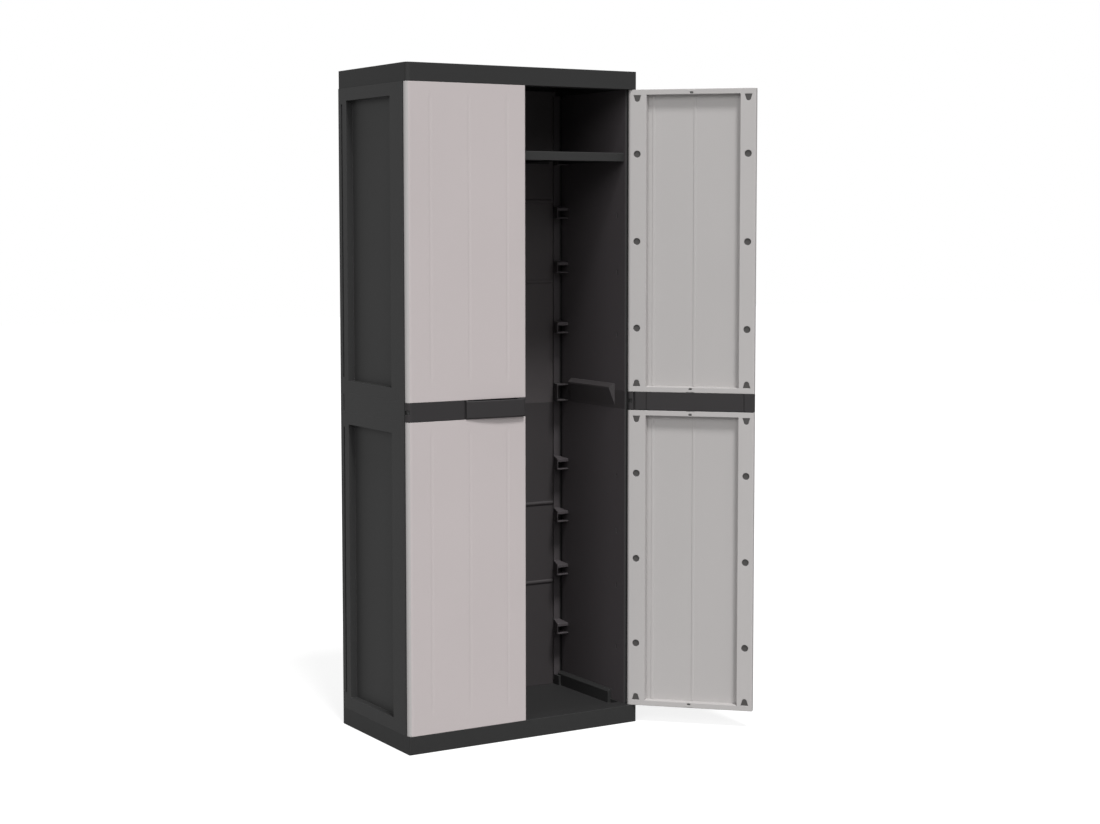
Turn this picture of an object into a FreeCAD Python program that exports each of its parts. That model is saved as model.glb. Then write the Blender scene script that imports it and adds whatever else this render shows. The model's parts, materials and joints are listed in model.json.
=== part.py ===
import FreeCAD, Part

import os
import re

# Garden storage cabinet with two doors, moulded in plastic.
# The origin is at the middle of the carcass, on the ground. +X is to the right
# seen from the front, -Y is the front and +Z is up. All sizes are millimetres.

SIZES = (
    # carcass
    ("cabinet_width", "650"),
    ("cabinet_depth", "370"),
    ("base_height", "44"),
    ("panel_height", "757.5"),
    ("joiner_height", "47"),
    ("cap_height", "44"),
    ("moulded_wall", "3.5"),
    # side panels
    ("side_thickness", "21"),
    ("side_setback", "2"),
    ("side_edge_radius", "5"),
    ("front_post_width", "63"),
    ("rear_post_width", "44"),
    ("recess_depth", "17.6"),
    ("recess_margin", "31"),
    ("groove_width", "8"),
    ("groove_depth", "13"),
    ("groove_margin", "39"),
    ("groove_setback", "14"),
    ("flange_width", "17"),
    ("flange_depth", "25"),
    ("rear_slot_depth", "4"),
    ("post_spigot_length", "20"),
    ("spigot_clearance", "0.2"),
    # shelf seats, given as heights above the lower end of a side panel
    ("seat_height_one", "146"),
    ("seat_height_two", "305"),
    ("seat_height_three", "448"),
    ("seat_height_four", "588"),
    ("seat_opening", "17.6"),
    ("seat_rib", "3"),
    ("seat_edge", "1.2"),
    ("seat_reach", "33"),
    ("seat_length", "45"),
    ("seat_roof", "7.5"),
    ("seat_roof_rise", "4"),
    ("joiner_seat_floor", "5"),
    ("joiner_seat_opening", "38"),
    ("slot_depth", "2"),
    ("slot_length", "4"),
    ("slot_height", "12"),
    ("slot_drop", "1.5"),
    ("slot_setback", "38"),
    # groove, rail and door lug of the side joiners
    ("joiner_groove_depth", "1.5"),
    ("joiner_groove_margin", "2.5"),
    ("rail_reach", "10"),
    ("rail_top", "63.5"),
    ("rail_foot", "8"),
    ("rail_bevel", "10"),
    ("rail_ridge", "4"),
    ("rail_end_slope", "12"),
    ("rail_front_gap", "50"),
    ("rail_length", "213"),
    ("lug_height", "10"),
    ("lug_radius", "6.5"),
    ("lug_arm_width", "6"),
    ("lug_play", "0.3"),
    ("pin_radius", "3"),
    ("hinge_clearance", "0.1"),
    # base and cap
    ("floor_height", "34"),
    ("floor_thickness", "3"),
    ("rim_depth", "45"),
    ("curb_height", "36"),
    ("curb_thickness", "11"),
    ("curb_bevel_run", "8"),
    ("curb_bevel_drop", "6"),
    ("curb_length", "250"),
    ("curb_rear_gap", "10"),
    ("partition_guide_height", "12"),
    ("corner_block_height", "26"),
    ("foot_rib", "3"),
    ("foot_pad", "60"),
    ("base_edge_radius", "4"),
    ("cap_inset", "1"),
    ("cap_edge_radius", "11"),
    ("boss_radius", "8"),
    ("boss_length", "24"),
    # back
    ("back_thickness", "4"),
    ("back_inset", "15"),
    ("back_slot_depth", "10"),
    ("back_slot_play", "0.5"),
    ("back_seam_drop", "4.5"),
    ("back_lap", "12"),
    ("back_rib_depth", "9"),
    ("back_rib_spacing", "140"),
    ("bead_radius", "6"),
    ("bead_reach", "3"),
    ("bead_height_low", "270"),
    ("bead_height_high", "482"),
    # shelves and partition
    ("shelf_play", "0.3"),
    ("shelf_plate", "3"),
    ("shelf_lip_height", "21.6"),
    ("shelf_lip_thickness", "5"),
    ("shelf_lip_radius", "2"),
    ("top_shelf_setback", "30"),
    ("cross_rib_setback", "169.5"),
    ("half_shelf_setback", "45"),
    ("partition_thickness", "18"),
    ("partition_web", "4"),
    ("partition_border", "25"),
    ("partition_tongue", "10"),
    ("ledge_reach", "10"),
    # doors
    ("door_thickness", "20"),
    ("door_gap", "0.5"),
    ("door_side_inset", "0.5"),
    ("door_meeting_gap", "1"),
    ("hinge_inset", "10"),
    ("door_skin", "3"),
    ("front_radius", "12"),
    ("hinge_side_radius", "8"),
    ("free_side_radius", "3"),
    ("spigot_radius", "5"),
    ("spigot_length", "12"),
    ("hinge_stile", "15"),
    ("rim_hinge_side", "47.5"),
    ("rim_free_side", "39.5"),
    ("rim_end", "13"),
    ("slope_run", "1.5"),
    ("board_width", "104.6"),
    ("board_groove_width", "9"),
    ("board_groove_depth", "0.6"),
    ("board_groove_fade", "22"),
    ("board_groove_low", "34"),
    ("board_groove_high", "14"),
    ("back_ridge_height", "1"),
    ("back_ridge_root", "0.75"),
    # rivets and clips of the doors
    ("rivet_radius", "8.7"),
    ("rivet_shank_radius", "3.5"),
    ("rivet_depth", "2"),
    ("rivet_sink", "0.6"),
    ("rivet_from_hinge_side", "24"),
    ("rivet_from_free_side", "19.5"),
    ("rivet_pitch", "218"),
    ("clip_radius", "6.5"),
    ("clip_half_width", "9.6"),
    ("clip_height", "16.5"),
    ("clip_from_end", "22.2"),
    ("rim_clip_width", "9"),
    ("rim_clip_height", "5"),
    ("rim_clip_from_end", "9"),
    ("rim_notch_width", "20"),
    ("rim_notch_depth", "1.5"),
    ("rim_clip_from_free_side", "162"),
    # band and handle of the doors
    ("seam_gap", "1"),
    ("handle_length", "167"),
    ("handle_reach", "11"),
    ("handle_bow", "7"),
    ("handle_crest", "54"),
    ("handle_end_gap", "7"),
    ("handle_end_radius", "6"),
    ("handle_wall", "2.5"),
    ("handle_end_wall", "24"),
    ("handle_seam_width", "4"),
    ("handle_seam_depth", "3"),
    ("handle_dip", "1.5"),
    ("handle_low_bevel", "3"),
    ("handle_high_bevel", "1.5"),
    ("handle_grip_back", "8"),
    ("band_line_width", "3"),
    ("band_line_depth", "2"),
    ("band_line_hinge_side", "49"),
    ("band_line_free_side", "26"),
    ("band_slot_width", "5"),
    ("band_slot_depth", "6"),
    ("band_slot_from_axis", "6.5"),
    # doors, in degrees from closed: where they stand and how far they open
    ("left_door_angle", "0"),
    ("right_door_angle", "135"),
    ("door_stop_angle", "135"),
)

HALF_WIDTH = "cabinet_width / 2"
FRONT = "-cabinet_depth / 2"
BACK = "cabinet_depth / 2"
SIDE_FRONT = f"{FRONT} + door_thickness + side_setback"
SIDE_INNER = f"{HALF_WIDTH} - side_thickness"
JOINER_BOTTOM = "base_height + panel_height"
JOINER_TOP = f"{JOINER_BOTTOM} + joiner_height"
CAP_BOTTOM = f"{JOINER_TOP} + panel_height"
FLANGE_EDGE = f"{SIDE_INNER} - flange_width"
FLANGE_FRONT = f"{BACK} - flange_depth"
RECESS_REAR = f"{BACK} - rear_post_width"
RECESS_FRONT = f"{SIDE_FRONT} + front_post_width"
BACK_FRONT = f"{BACK} - back_inset - back_thickness"
BACK_REAR = f"{BACK} - back_inset"
HINGE_X = f"{HALF_WIDTH} - hinge_inset"
HINGE_Y = f"{FRONT} + door_thickness / 2"
JOINER_MIDDLE = f"{JOINER_BOTTOM} + joiner_height / 2"
SHELF_HEIGHT = "seat_opening - shelf_play"
TOP_SHELF_BOTTOM = f"{JOINER_TOP} + seat_height_four - seat_opening / 2"
HALF_PARTITION = "partition_thickness / 2"

# Door frame: its origin is on the hinge axis at the lower end of the door,
# +X runs to the free edge and -Y is the outer face.
DOOR_EDGE = "door_side_inset - hinge_inset"
DOOR_FREE_EDGE = f"{HALF_WIDTH} - hinge_inset - door_meeting_gap"
DOOR_FRONT = "-door_thickness / 2"
DOOR_BACK = "door_thickness / 2"
DOOR_PANEL = "panel_height - door_gap"
SKIN_BACK = f"{DOOR_FRONT} + door_skin"
FRAME_FRONT = f"{DOOR_BACK} - door_skin"
DOOR_BOTTOM = "base_height + door_gap"

# The handle bows forward: its front is part of a wide circle, seen from above.
BOW_RADIUS = "((handle_length - handle_crest) ^ 2 / (2 * handle_bow) + handle_bow / 2)"
BOW_MIDDLE = (f"{DOOR_FREE_EDGE} - handle_crest", f"{DOOR_FRONT} - handle_reach + {BOW_RADIUS}")

# how far a cutting block runs past what it cuts, how near two points count as one,
# and how much of a side its roundings may take
PAST = 1
TOUCHING = 1e-6
ROUNDING_SHARE = 0.97
SEAT_HEIGHTS = ("seat_height_one", "seat_height_two", "seat_height_three", "seat_height_four")

doc = FreeCAD.newDocument("garden_storage_cabinet")
sheet = doc.addObject("Spreadsheet::Sheet", "sizes")
for row, (alias, text) in enumerate(SIZES, start=1):
    sheet.set(f"A{row}", alias.replace("_", " "))
    sheet.set(f"B{row}", text)
    sheet.setAlias(f"B{row}", alias)
doc.recompute()

ALIASES = {alias for alias, text in SIZES}
nodes = []


def size(alias):
    """The number that the sheet holds under this alias."""
    return float(sheet.get(alias))


def bind(item, prop, formula):
    """Ties a property to the sheet, with the aliases written bare in the formula."""
    words = re.sub(r"[a-z_]+", lambda word: f"sizes.{word[0]}" if word[0] in ALIASES else word[0], formula)
    item.setExpression(prop, words)


def box(name, low, high):
    """A block from its low corner to its high corner, each given as three formulas."""
    item = doc.addObject("Part::Box", name)
    for prop, axis, start, end in zip(("Length", "Width", "Height"), "xyz", low, high):
        bind(item, prop, f"({end}) - ({start})")
        bind(item, f"Placement.Base.{axis}", start)
    return item


def cylinder(name, radius, start, length, along="z"):
    """A round bar that starts at a point and runs along X, Y or Z."""
    item = doc.addObject("Part::Cylinder", name)
    bind(item, "Radius", radius)
    bind(item, "Height", length)
    turns = {
        "x": FreeCAD.Rotation(FreeCAD.Vector(0, 1, 0), 90),
        "y": FreeCAD.Rotation(FreeCAD.Vector(1, 0, 0), -90),
        "z": FreeCAD.Rotation(),
    }
    item.Placement = FreeCAD.Placement(FreeCAD.Vector(), turns[along])
    for axis, place in zip("xyz", start):
        bind(item, f"Placement.Base.{axis}", place)
    return item


def cone(name, low_radius, high_radius, start, length):
    """An upright cone."""
    item = doc.addObject("Part::Cone", name)
    bind(item, "Radius1", low_radius)
    bind(item, "Radius2", high_radius)
    bind(item, "Height", length)
    for axis, place in zip("xyz", start):
        bind(item, f"Placement.Base.{axis}", place)
    return item


def taper(name, across, depth, up, far_across, far_up):
    """A block along Y whose far face has its own width and height."""
    item = doc.addObject("Part::Wedge", name)
    spans = (("X", across, far_across), ("Z", up, far_up))
    for axis, near, far in spans:
        for end, near_value, far_value in zip(("min", "max"), near, far):
            bind(item, f"{axis}{end}", near_value)
            bind(item, f"{axis}2{end}", far_value)
    bind(item, "Ymin", depth[0])
    bind(item, "Ymax", depth[1])
    return item


def fuse(name, pieces):
    item = doc.addObject("Part::MultiFuse", name)
    item.Shapes = pieces
    item.Refine = True
    return item


def cut(name, base, tools):
    """The base less all the tools."""
    tool = tools[0] if len(tools) == 1 else fuse(f"{name}_tools", tools)
    item = doc.addObject("Part::Cut", name)
    item.Base = base
    item.Tool = tool
    item.Refine = True
    return item


def common(name, base, tool):
    item = doc.addObject("Part::Common", name)
    item.Base = base
    item.Tool = tool
    return item


def rounded(name, base, corners):
    """Rounds upright edges, each named by its side in X and in Y and its radius alias.

    Two roundings on one side share its depth, so together they stay within it.
    """
    doc.recompute()
    bounds = base.Shape.BoundBox
    edges = []
    for side_x, side_y, alias in corners:
        x = getattr(bounds, side_x)
        y = getattr(bounds, side_y)
        side_total = sum(size(other) for other_x, other_y, other in corners if other_x == side_x)
        radius = size(alias) * min(1, ROUNDING_SHARE * bounds.YLength / side_total)
        for number, edge in enumerate(base.Shape.Edges, start=1):
            ends = [vertex.Point for vertex in edge.Vertexes]
            if all(abs(end.x - x) < TOUCHING and abs(end.y - y) < TOUCHING for end in ends):
                edges.append((number, radius, radius))
    item = doc.addObject("Part::Fillet", name)
    item.Base = base
    item.Edges = edges
    return item


def place(label, master, base, mirrored=False, angle="0"):
    """One sub-part: a copy of the master, mirrored for the other hand, at its place."""
    if mirrored:
        item = doc.addObject("Part::Mirroring", label)
        item.Source = master
        item.Normal = FreeCAD.Vector(1, 0, 0)
    else:
        item = doc.addObject("Part::Compound", label)
        item.Links = [master]
    item.Label = label
    for axis, formula in zip("xyz", base):
        bind(item, f"Placement.Base.{axis}", formula)
    bind(item, "Placement.Rotation.Angle", angle)
    nodes.append(item)
    return item


def stand(label, item):
    """One sub-part that is modelled where it stands."""
    return place(label, item, ("0", "0", "0"))


def front_spigot(name, start, end):
    """The block that fills the front post of the right side, less the clearance."""
    play = "(moulded_wall + spigot_clearance)"
    return box(
        name,
        (f"{SIDE_INNER} + {play}", f"{SIDE_FRONT} + {play}", start),
        (f"{HALF_WIDTH} - {play}", f"{RECESS_FRONT} - {play}", end),
    )


def rear_spigot(name, start, end):
    """The block that fills the rear post of the right side, less the clearance."""
    play = "(moulded_wall + spigot_clearance)"
    return box(
        name,
        (f"{SIDE_INNER} + rear_slot_depth + {play}", f"{RECESS_REAR} + {play}", start),
        (f"{HALF_WIDTH} - {play}", f"{FLANGE_FRONT} - spigot_clearance", end),
    )


def side_section(name, height):
    """The section that side panels and side joiners share: wall, rear flange and slots."""
    wall = rounded(
        f"{name}_wall",
        box(f"{name}_block", (SIDE_INNER, SIDE_FRONT, "0"), (HALF_WIDTH, BACK, height)),
        (("XMin", "YMin", "side_edge_radius"), ("XMax", "YMin", "side_edge_radius")),
    )
    flange = box(
        f"{name}_flange",
        (FLANGE_EDGE, FLANGE_FRONT, "0"),
        (f"{SIDE_INNER} + {PAST}", BACK, height),
    )
    back_slot = box(
        f"{name}_back_slot",
        (f"{FLANGE_EDGE} - {PAST}", BACK_FRONT, f"-{PAST}"),
        (f"{FLANGE_EDGE} + back_slot_depth", BACK_REAR, f"{height} + {PAST}"),
    )
    rear_slot = box(
        f"{name}_rear_slot",
        (f"{SIDE_INNER} - {PAST}", f"{RECESS_REAR} + rear_slot_depth", f"-{PAST}"),
        (f"{SIDE_INNER} + rear_slot_depth", FLANGE_FRONT, f"{height} + {PAST}"),
    )
    return cut(f"{name}_section", fuse(f"{name}_shape", [wall, flange]), [back_slot, rear_slot])


def shelf_seat(name, floor, opening, roof, rise):
    """A pocket at the rear, open to the front, that takes the rear corner of a shelf."""
    front = f"{FLANGE_FRONT} - seat_length"
    reach = f"{SIDE_INNER} - seat_reach"
    buried = f"{SIDE_INNER} + {PAST}"
    ceiling = f"{floor} + {opening}"
    block = taper(
        f"{name}_block",
        (reach, buried),
        (front, f"{FLANGE_FRONT} + {PAST}"),
        (f"{floor} - seat_rib", f"{ceiling} + {roof}"),
        (f"{FLANGE_EDGE} + {PAST}", buried),
        (f"{floor} - seat_rib", f"{ceiling} + {roof} + {rise}"),
    )
    pocket = taper(
        f"{name}_pocket",
        (f"{reach} + seat_edge", f"{buried} + {PAST}"),
        (f"{front} - {PAST}", f"{FLANGE_FRONT} + {2 * PAST}"),
        (floor, ceiling),
        (f"{FLANGE_EDGE} + seat_rib + {PAST}", f"{buried} + {PAST}"),
        (floor, ceiling),
    )
    return cut(f"{name}_shape", block, [pocket])


def side_panel():
    """One side panel of the right hand; the lower and the upper one are alike."""
    section = side_section("side_panel", "panel_height")
    additions = []
    slots = []
    for number, middle in enumerate(SEAT_HEIGHTS, start=1):
        floor = f"{middle} - seat_opening / 2"
        slot_foot = f"{floor} - slot_drop"
        additions.append(shelf_seat(f"seat_{number}", floor, "seat_opening", "seat_roof", "seat_roof_rise"))
        slots.append(
            box(
                f"front_slot_{number}",
                (f"{SIDE_INNER} - {PAST}", f"{SIDE_FRONT} + slot_setback", slot_foot),
                (
                    f"{SIDE_INNER} + slot_depth",
                    f"{SIDE_FRONT} + slot_setback + slot_length",
                    f"{slot_foot} + slot_height",
                ),
            )
        )
    recess = box(
        "side_recess",
        (f"{HALF_WIDTH} - recess_depth", RECESS_FRONT, "recess_margin"),
        (f"{HALF_WIDTH} + {PAST}", RECESS_REAR, "panel_height - recess_margin"),
    )
    groove = box(
        "side_groove",
        (f"{HALF_WIDTH} - groove_depth", f"{BACK} - groove_setback - groove_width", "groove_margin"),
        (f"{HALF_WIDTH} + {PAST}", f"{BACK} - groove_setback", "panel_height - groove_margin"),
    )
    front_hollow = box(
        "front_post_hollow",
        (f"{SIDE_INNER} + moulded_wall", f"{SIDE_FRONT} + moulded_wall", f"-{PAST}"),
        (f"{HALF_WIDTH} - moulded_wall", f"{RECESS_FRONT} - moulded_wall", f"panel_height + {PAST}"),
    )
    rear_hollow = box(
        "rear_post_hollow",
        (f"{SIDE_INNER} + rear_slot_depth + moulded_wall", f"{RECESS_REAR} + moulded_wall", f"-{PAST}"),
        (f"{HALF_WIDTH} - moulded_wall", FLANGE_FRONT, f"panel_height + {PAST}"),
    )
    end_hollows = []
    for end, start, stop in (
        ("low", f"-{PAST}", "recess_margin - moulded_wall"),
        ("high", "panel_height - recess_margin + moulded_wall", f"panel_height + {PAST}"),
    ):
        end_hollows.append(
            box(
                f"{end}_end_hollow",
                (f"{SIDE_INNER} + moulded_wall", f"{RECESS_FRONT} + moulded_wall", start),
                (f"{HALF_WIDTH} - moulded_wall", f"{RECESS_REAR} - moulded_wall", stop),
            )
        )
    hollows = [front_hollow, rear_hollow] + end_hollows
    hollowed = cut("side_panel_hollowed", section, [recess, groove] + hollows + slots)
    return fuse("side_panel", [hollowed] + additions)


def side_joiner():
    """The right joiner between the lower and upper side panel, with rail, spigots and door lug."""
    section = side_section("side_joiner", "joiner_height")
    hollow = box(
        "joiner_hollow",
        (f"{SIDE_INNER} + moulded_wall", f"{RECESS_FRONT} + moulded_wall", f"-{PAST}"),
        (f"{HALF_WIDTH} - moulded_wall", f"{RECESS_REAR} - moulded_wall", "joiner_height - moulded_wall"),
    )
    groove_rear = f"{BACK} - groove_setback"
    groove = box(
        "joiner_groove",
        (f"{HALF_WIDTH} - joiner_groove_depth", f"{groove_rear} - groove_width", "joiner_groove_margin"),
        (f"{HALF_WIDTH} + {PAST}", groove_rear, "joiner_height - joiner_groove_margin"),
    )
    spigot_ends = ("-post_spigot_length", "joiner_height + post_spigot_length")
    additions = [
        front_spigot("joiner_front_spigot", *spigot_ends),
        rear_spigot("joiner_rear_spigot", *spigot_ends),
    ]
    additions.append(shelf_seat("joiner_seat", "joiner_seat_floor", "joiner_seat_opening", "seat_rib", "0"))
    rail_front = f"{SIDE_FRONT} + rail_front_gap"
    rail_rear = f"{rail_front} + rail_length"
    rail = taper(
        "joiner_rail",
        (rail_front, rail_rear),
        ("0", "rail_reach"),
        ("rail_foot", "rail_top"),
        (f"{rail_front} + rail_end_slope", rail_rear),
        ("rail_top - rail_bevel - rail_ridge", "rail_top - rail_bevel"),
    )
    rail.Placement = FreeCAD.Placement(FreeCAD.Vector(), FreeCAD.Rotation(FreeCAD.Vector(0, 0, 1), 90))
    bind(rail, "Placement.Base.x", SIDE_INNER)
    additions.append(rail)
    lug_start = "joiner_height / 2 - lug_height / 2"
    additions.append(
        box(
            "lug_arm",
            (f"{HINGE_X} - lug_arm_width / 2", HINGE_Y, lug_start),
            (f"{HINGE_X} + lug_arm_width / 2", f"{SIDE_FRONT} + side_thickness", f"{lug_start} + lug_height"),
        )
    )
    additions.append(cylinder("lug_eye", "lug_radius", (HINGE_X, HINGE_Y, lug_start), "lug_height"))
    eye_hole = cylinder(
        "lug_hole",
        "pin_radius + hinge_clearance",
        (HINGE_X, HINGE_Y, f"{lug_start} - {PAST}"),
        f"lug_height + {2 * PAST}",
    )
    whole = fuse("side_joiner_whole", [cut("side_joiner_hollowed", section, [hollow, groove])] + additions)
    return cut("side_joiner", whole, [eye_hole])


def both_hands(name, builder):
    """The same feature at the right and mirrored at the left."""
    right = builder(f"{name}_right")
    left = doc.addObject("Part::Mirroring", f"{name}_left")
    left.Source = right
    left.Normal = FreeCAD.Vector(1, 0, 0)
    return [right, left]


def hinge_boss(start):
    return lambda name: cylinder(name, "boss_radius", (HINGE_X, HINGE_Y, start), "boss_length")


def hinge_hole(start, length):
    return lambda name: cylinder(name, "spigot_radius + hinge_clearance", (HINGE_X, HINGE_Y, start), length)


def curb_bevel(name, edge, rear, top):
    """The bevelled top of a side curb; it is made lying along Y and turned upright."""
    bevel = taper(
        f"{name}_wedge",
        (edge, SIDE_INNER),
        (f"{top} - curb_bevel_drop", top),
        (f"-({rear})", f"curb_length - ({rear})"),
        (f"{edge} + curb_bevel_run", SIDE_INNER),
        (f"-({rear})", f"curb_length - ({rear})"),
    )
    bevel.Placement = FreeCAD.Placement(FreeCAD.Vector(), FreeCAD.Rotation(FreeCAD.Vector(1, 0, 0), 90))
    return bevel


def base_tray():
    """The base: a skirt with a sunk floor, a rim that the sides and doors stand over, and ribs below."""
    block = rounded(
        "base_block",
        box("base_outline", (f"-{HALF_WIDTH}", FRONT, "0"), (HALF_WIDTH, BACK, "base_height")),
        (("XMin", "YMin", "base_edge_radius"), ("XMax", "YMin", "base_edge_radius")),
    )
    floor_edge = f"({SIDE_INNER} - moulded_wall)"
    tray = box(
        "base_tray_pocket",
        (f"-{floor_edge}", f"{FRONT} + rim_depth", "floor_height"),
        (floor_edge, BACK_REAR, f"base_height + {PAST}"),
    )
    wall = "moulded_wall"
    underside = box(
        "base_underside",
        (f"{wall} - {HALF_WIDTH}", f"{FRONT} + {wall}", f"-{PAST}"),
        (f"{HALF_WIDTH} - {wall}", f"{BACK} - {wall}", "floor_height - floor_thickness"),
    )
    front_hollow = box(
        "base_front_hollow",
        (f"{wall} - {HALF_WIDTH}", f"{FRONT} + {wall}", f"-{PAST}"),
        (f"{HALF_WIDTH} - {wall}", f"{FRONT} + rim_depth - {wall}", f"base_height - {wall}"),
    )
    side_hollows = both_hands(
        "base_side_hollow",
        lambda name: box(
            name,
            (f"{SIDE_INNER} + {wall}", f"{FRONT} + {wall}", f"-{PAST}"),
            (f"{HALF_WIDTH} - {wall}", f"{BACK} - {wall}", f"base_height - {wall}"),
        ),
    )
    shell = cut("base_shell", block, [tray, underside, front_hollow] + side_hollows)
    additions = [
        box(
            "base_long_rib",
            (f"{wall} - {HALF_WIDTH}", "-foot_rib / 2", "0"),
            (f"{HALF_WIDTH} - {wall}", "foot_rib / 2", "floor_height - floor_thickness"),
        ),
        box(
            "base_foot_pad",
            ("-foot_pad / 2", "-foot_pad / 2", "0"),
            ("foot_pad / 2", "foot_pad / 2", "floor_height - floor_thickness"),
        ),
    ]
    for number in (-1, 0, 1):
        middle = f"{number} * cabinet_width / 4"
        additions.append(
            box(
                f"base_cross_rib_{number + 2}",
                (f"{middle} - foot_rib / 2", f"{FRONT} + {wall}", "0"),
                (f"{middle} + foot_rib / 2", f"{BACK} - {wall}", "floor_height - floor_thickness"),
            )
        )
    curb_edge = f"({SIDE_INNER} - curb_thickness)"
    curb_rear = f"{FLANGE_FRONT} - curb_rear_gap"
    curb_top = "floor_height + curb_height"
    additions += both_hands(
        "base_curb",
        lambda name: box(
            name,
            (curb_edge, f"{curb_rear} - curb_length", f"floor_height - {PAST}"),
            (SIDE_INNER, curb_rear, f"{curb_top} - curb_bevel_drop"),
        ),
    )
    additions += both_hands("base_curb_bevel", lambda name: curb_bevel(name, curb_edge, curb_rear, curb_top))
    additions += both_hands(
        "base_corner_block",
        lambda name: box(
            name,
            (FLANGE_EDGE, f"{FLANGE_FRONT} - flange_depth", f"floor_height - {PAST}"),
            (SIDE_INNER, FLANGE_FRONT, "floor_height + corner_block_height"),
        ),
    )
    spigot_ends = (f"base_height - {wall} - {PAST}", "base_height + post_spigot_length")
    additions += both_hands("base_front_spigot", lambda name: front_spigot(name, *spigot_ends))
    additions += both_hands("base_rear_spigot", lambda name: rear_spigot(name, *spigot_ends))
    additions += both_hands("base_boss", hinge_boss("base_height - boss_length"))
    for side in (-1, 1):
        near = f"{side} * ({HALF_PARTITION} + shelf_play)"
        far = f"{side} * ({HALF_PARTITION} + shelf_play + foot_rib)"
        edges = (far, near) if side < 0 else (near, far)
        additions.append(
            box(
                f"base_partition_guide_{side + 2}",
                (edges[0], f"{FRONT} + rim_depth + partition_border", f"floor_height - {PAST}"),
                (edges[1], f"{FLANGE_FRONT} - partition_border", "floor_height + partition_guide_height"),
            )
        )
    whole = fuse("base_whole", [shell] + additions)
    socket_floor = "base_height - spigot_length - moulded_wall"
    sockets = both_hands("base_socket", hinge_hole(socket_floor, "cap_height"))
    return cut("base_tray_shape", whole, sockets)


def top_cap():
    """The top cap, modelled with its underside at zero height: a lid with a front channel."""
    edge = f"({HALF_WIDTH} - cap_inset)"
    block = rounded(
        "cap_block",
        box("cap_outline", (f"-{edge}", FRONT, "0"), (edge, f"{BACK} - cap_inset", "cap_height")),
        (("XMin", "YMin", "cap_edge_radius"), ("XMax", "YMin", "cap_edge_radius")),
    )
    wall = "moulded_wall"
    ceiling = f"cap_height - {wall}"
    lid_front = f"{FRONT} + rim_depth"
    inner_edge = f"({FLANGE_EDGE} + back_slot_depth)"
    main_hollow = box(
        "cap_main_hollow",
        (f"-{inner_edge}", f"{lid_front} - {wall}", f"-{PAST}"),
        (inner_edge, f"{BACK} - cap_inset - {wall}", ceiling),
    )
    channel = box(
        "cap_front_channel",
        (f"{wall} - {edge} + cap_edge_radius", f"{FRONT} + {wall}", wall),
        (f"{edge} - {wall} - cap_edge_radius", lid_front, ceiling),
    )
    side_hollows = both_hands(
        "cap_side_hollow",
        lambda name: box(
            name,
            (f"{inner_edge} + {wall}", lid_front, f"-{PAST}"),
            (f"{edge} - {wall}", f"{BACK} - cap_inset - {wall}", ceiling),
        ),
    )
    shell = cut("cap_shell", block, [main_hollow, channel] + side_hollows)
    spigot_ends = ("-post_spigot_length", f"{ceiling} + {PAST}")
    additions = both_hands("cap_front_spigot", lambda name: front_spigot(name, *spigot_ends))
    additions += both_hands("cap_rear_spigot", lambda name: rear_spigot(name, *spigot_ends))
    whole = fuse("cap_whole", [shell] + additions)
    sockets = both_hands("cap_socket", hinge_hole(f"-{PAST}", f"spigot_length + moulded_wall + {PAST}"))
    return cut("top_cap_shape", whole, sockets)


def back_panel(name, start, end, rib_start, bead_base, lap):
    """One back sheet with two cross beads towards the inside and upright ribs at the rear."""
    edge = f"({FLANGE_EDGE} + back_slot_depth - back_slot_play)"
    pieces = [box(f"{name}_sheet", (f"-{edge}", BACK_FRONT, start), (edge, BACK_REAR, end))]
    rib_edge = f"{FLANGE_EDGE} - back_slot_play"
    for number, height in enumerate(("bead_height_low", "bead_height_high"), start=1):
        bead = cylinder(
            f"{name}_bead_{number}",
            "bead_radius",
            (f"-({rib_edge})", f"{BACK_FRONT} + bead_radius - bead_reach", f"{bead_base} + {height}"),
            f"2 * ({rib_edge})",
            along="x",
        )
        pieces.append(bead)
    for number in (-1, 0, 1):
        middle = f"{number} * back_rib_spacing"
        pieces.append(
            box(
                f"{name}_rib_{number + 2}",
                (f"{middle} - foot_rib / 2", f"{BACK_FRONT} + back_thickness / 2", rib_start),
                (f"{middle} + foot_rib / 2", f"{BACK_REAR} + back_rib_depth", f"{end} - back_lap"),
            )
        )
    if lap:
        pieces.append(
            box(
                f"{name}_lap",
                (f"-({rib_edge})", BACK_REAR, f"{start} - back_lap"),
                (rib_edge, f"{BACK_REAR} + foot_rib", f"{start} + back_lap"),
            )
        )
    return fuse(f"{name}_shape", pieces)


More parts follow.
